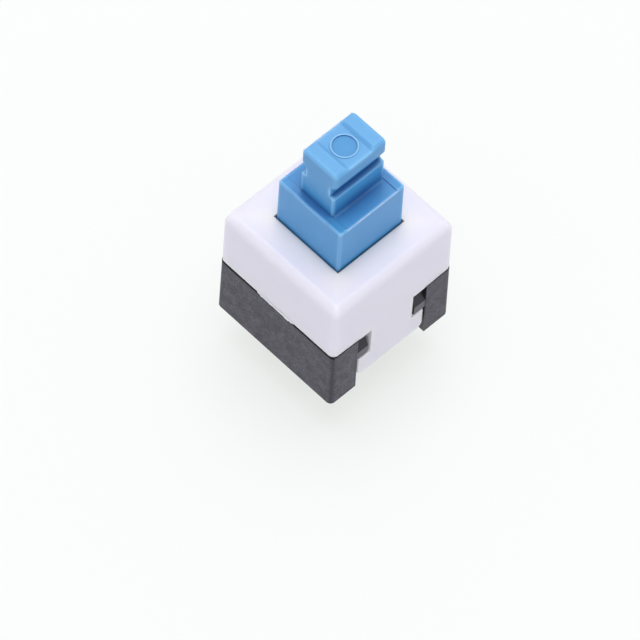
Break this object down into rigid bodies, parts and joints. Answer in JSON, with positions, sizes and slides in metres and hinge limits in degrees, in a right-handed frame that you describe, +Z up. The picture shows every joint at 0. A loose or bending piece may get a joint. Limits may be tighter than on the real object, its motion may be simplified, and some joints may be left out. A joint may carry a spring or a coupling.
{
  "type": "pushbutton switch",
  "caption": "Self-locking pushbutton switch with two change-over poles: black base, clipped white cover, blue plunger with a stem for a cap, and solder pins.",
  "frame": {"origin": "middle of the base's underside, the face that seats on a circuit board", "axes": "+Z up along the plunger, away from the board; +X and -X towards the cover's two snap legs; +Y and -Y towards the closed walls, along the stem's long side"},
  "size_m": [0.0086, 0.0086, 0.0181],
  "materials": {
    "black_housing": "matte black moulded plastic",
    "white_cover": "smooth white moulded plastic",
    "blue_plunger": "satin blue moulded plastic",
    "spring_steel": "bright spring steel",
    "contact_sheet": "silver-plated bronze sheet",
    "tinned_strip": "tin-plated brass strip"
  },
  "bodies": {
    "housing": {"base": "black_housing", "cover": "white_cover", "latch_leaf": "spring_steel", "return_spring": "spring_steel", "terminal_front_released": "tinned_strip", "terminal_front_common": "tinned_strip", "terminal_front_pressed": "tinned_strip", "terminal_rear_released": "tinned_strip", "terminal_rear_common": "tinned_strip", "terminal_rear_pressed": "tinned_strip"},
    "button": {"plunger": "blue_plunger", "moving_contact_front": "contact_sheet", "moving_contact_rear": "contact_sheet"},
    "latch": {"latch_pin": "spring_steel"}
  },
  "joints": [
    {"name": "plunger_slide", "type": "slide", "parent": "housing", "child": "button", "axis": [0, 0, -1], "range_m": [0, 0.0025], "stiffness_N_per_m": 640, "springref_m": -0.00125, "deforming": ["return_spring"]},
    {"name": "latch_pin_swing", "type": "hinge", "parent": "housing", "child": "latch", "pos_m": [0.0026, 0, 0.0012], "axis": [-1, 0, 0], "range_deg": [0, 12.6]}
  ],
  "couplings": [
    {"joint": "latch_pin_swing", "follows": "plunger_slide", "rad_per_m": 87.446}
  ]
}
